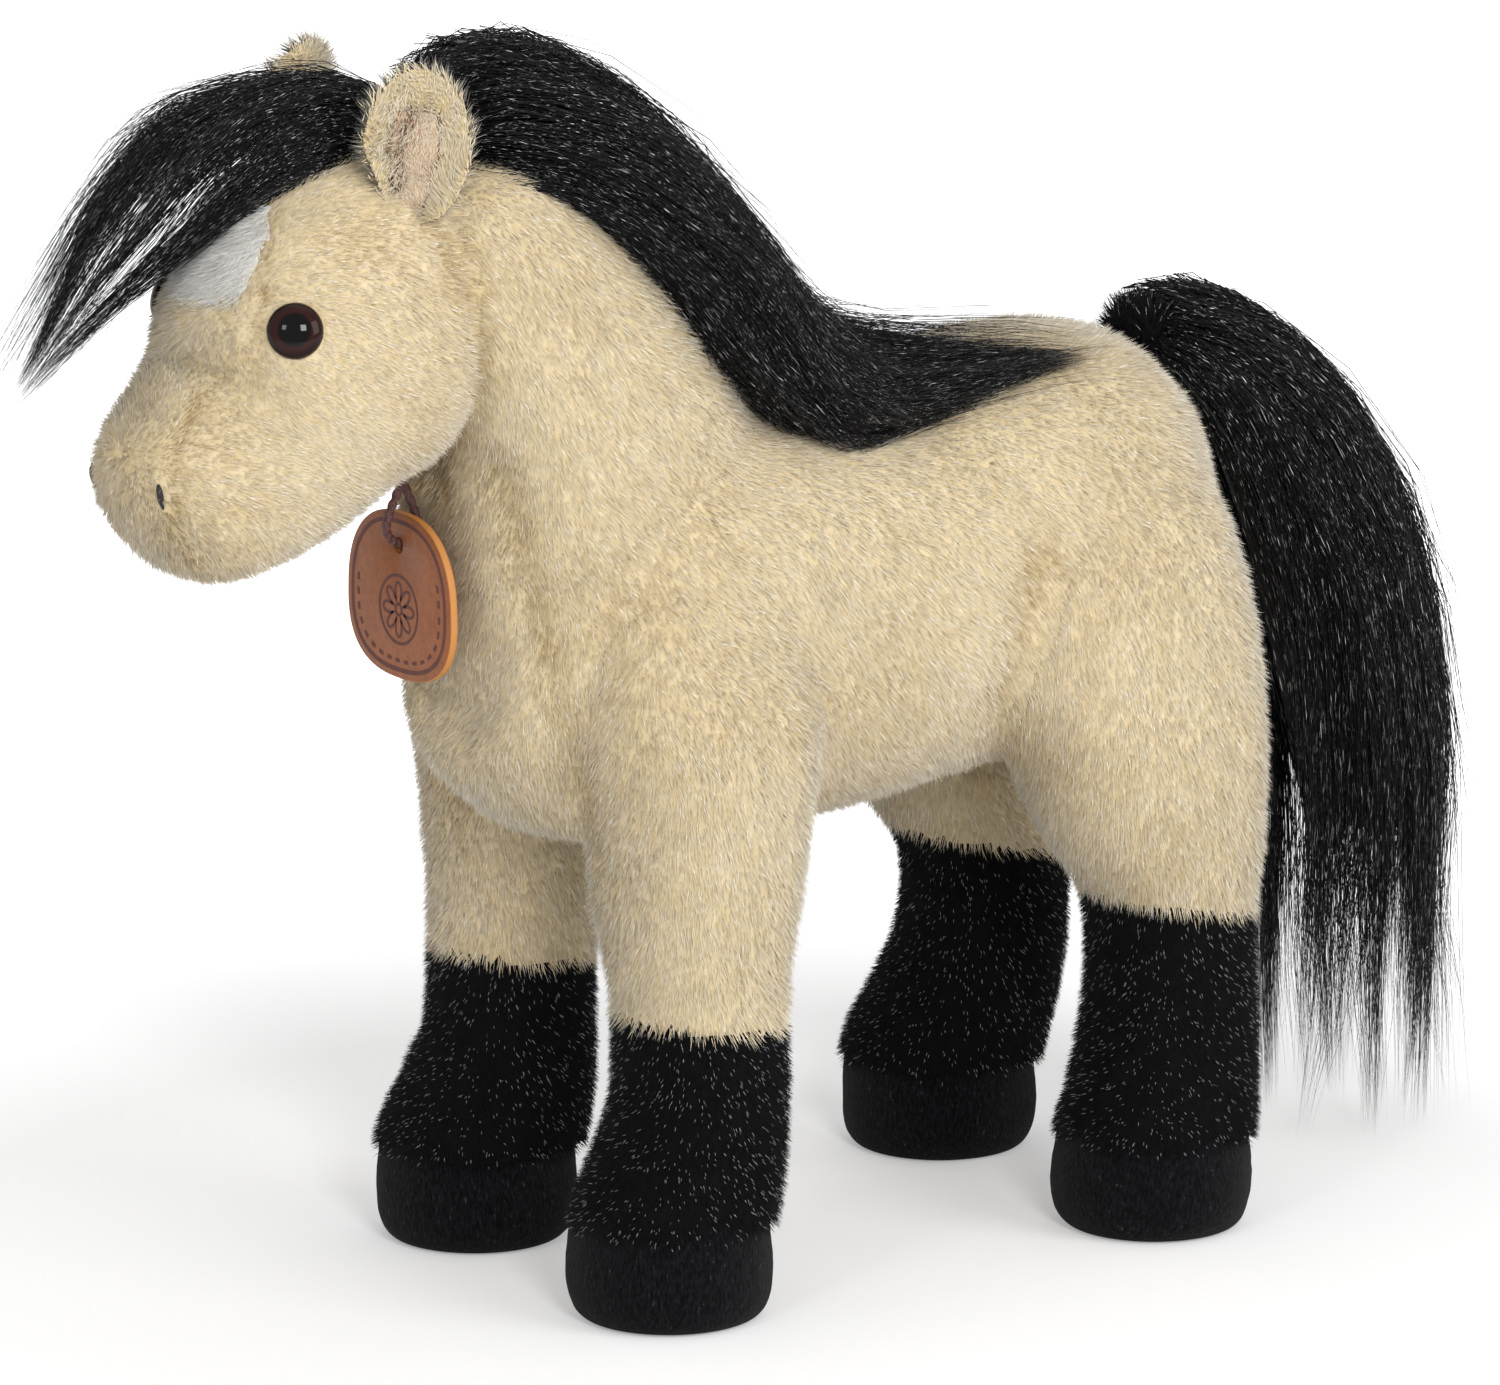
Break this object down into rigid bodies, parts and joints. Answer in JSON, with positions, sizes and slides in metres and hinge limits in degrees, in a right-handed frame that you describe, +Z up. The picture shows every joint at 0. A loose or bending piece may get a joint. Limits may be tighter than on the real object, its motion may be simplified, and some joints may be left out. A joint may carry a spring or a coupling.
{
  "type": "pony plush toy",
  "caption": "Standing plush pony in pale dun pile with black mane, tail, socks and hooves, domed plastic eyes, folding ears, a liftable tail and a hang tag on a throat cord.",
  "frame": {"origin": "on the floor under the middle of the figure's length and width, between the four soles", "axes": "+X towards the tail and -X along the nose, -Y on the pony's left side where the mane falls, +Z up"},
  "size_m": [0.4174, 0.148, 0.3253],
  "materials": {
    "dun_plush": "long pale dun pile, matte",
    "black_plush": "dense black pile, matte",
    "black_velour": "short black velour, matte",
    "black_hair": "long straight black fibre with a faint sheen",
    "white_plush": "short off-white pile, matte",
    "ear_lining": "short pinkish tan pile, matte",
    "fibre_filling": "loose polyester fibre",
    "eye_plastic": "polished dark brown with a black pupil",
    "washer_plastic": "moulded, matte",
    "tan_leather": "smooth tan with a darker printed border",
    "brown_cord": "twisted cord, satin"
  },
  "bodies": {
    "pony": {"torso_cover": "dun_plush", "torso_filling": "fibre_filling", "neck_cover": "dun_plush", "neck_filling": "fibre_filling", "eye_left": "eye_plastic", "eye_washer_left": "washer_plastic", "eye_right": "eye_plastic", "eye_washer_right": "washer_plastic", "forehead_patch": "white_plush", "head_cover": "dun_plush", "head_filling": "fibre_filling", "leg_cover_front_left": "dun_plush", "sock_front_left": "black_plush", "hoof_cover_front_left": "black_velour", "sole_front_left": "black_velour", "leg_filling_front_left": "fibre_filling", "leg_cover_front_right": "dun_plush", "sock_front_right": "black_plush", "hoof_cover_front_right": "black_velour", "sole_front_right": "black_velour", "leg_filling_front_right": "fibre_filling", "leg_cover_hind_left": "dun_plush", "sock_hind_left": "black_plush", "hoof_cover_hind_left": "black_velour", "sole_hind_left": "black_velour", "leg_filling_hind_left": "fibre_filling", "leg_cover_hind_right": "dun_plush", "sock_hind_right": "black_plush", "hoof_cover_hind_right": "black_velour", "sole_hind_right": "black_velour", "leg_filling_hind_right": "fibre_filling", "mane": "black_hair", "forelock": "black_hair"},
    "ear_left": {"ear_cover_left": "dun_plush", "ear_lining_left": "ear_lining"},
    "ear_right": {"ear_cover_right": "dun_plush", "ear_lining_right": "ear_lining"},
    "tail_dock": {"tail_dock": "black_plush"},
    "tail": {"tail": "black_hair"},
    "tag_cord": {"tag_cord": "brown_cord"},
    "hang_tag": {"hang_tag": "tan_leather"}
  },
  "joints": [
    {"name": "ear_left_fold", "type": "hinge", "parent": "pony", "child": "ear_left", "pos_m": [-0.13065, -0.02814, 0.28886], "axis": [0.927, -0.3352, -0.1684], "range_deg": [0, 40], "stiffness_Nm_per_rad": 0.01},
    {"name": "ear_right_fold", "type": "hinge", "parent": "pony", "child": "ear_right", "pos_m": [-0.13065, 0.02814, 0.28886], "axis": [-0.927, -0.3352, 0.1684], "range_deg": [0, 40], "stiffness_Nm_per_rad": 0.01},
    {"name": "tail_swing", "type": "hinge", "parent": "pony", "child": "tail_dock", "pos_m": [0.1163, 0, 0.228], "axis": [1, 0, 0], "range_deg": [-25, 25]},
    {"name": "tail_lift", "type": "hinge", "parent": "tail_dock", "child": "tail", "pos_m": [0.1163, 0, 0.228], "axis": [0, -1, 0], "range_deg": [0, 40]},
    {"name": "cord_swing", "type": "hinge", "parent": "pony", "child": "tag_cord", "pos_m": [-0.1147, 0, 0.223], "axis": [0, 1, 0], "range_deg": [-5, 18]},
    {"name": "tag_sway", "type": "hinge", "parent": "tag_cord", "child": "hang_tag", "pos_m": [-0.1147, 0, 0.1984], "axis": [1, 0, 0], "range_deg": [-20, 20]}
  ]
}
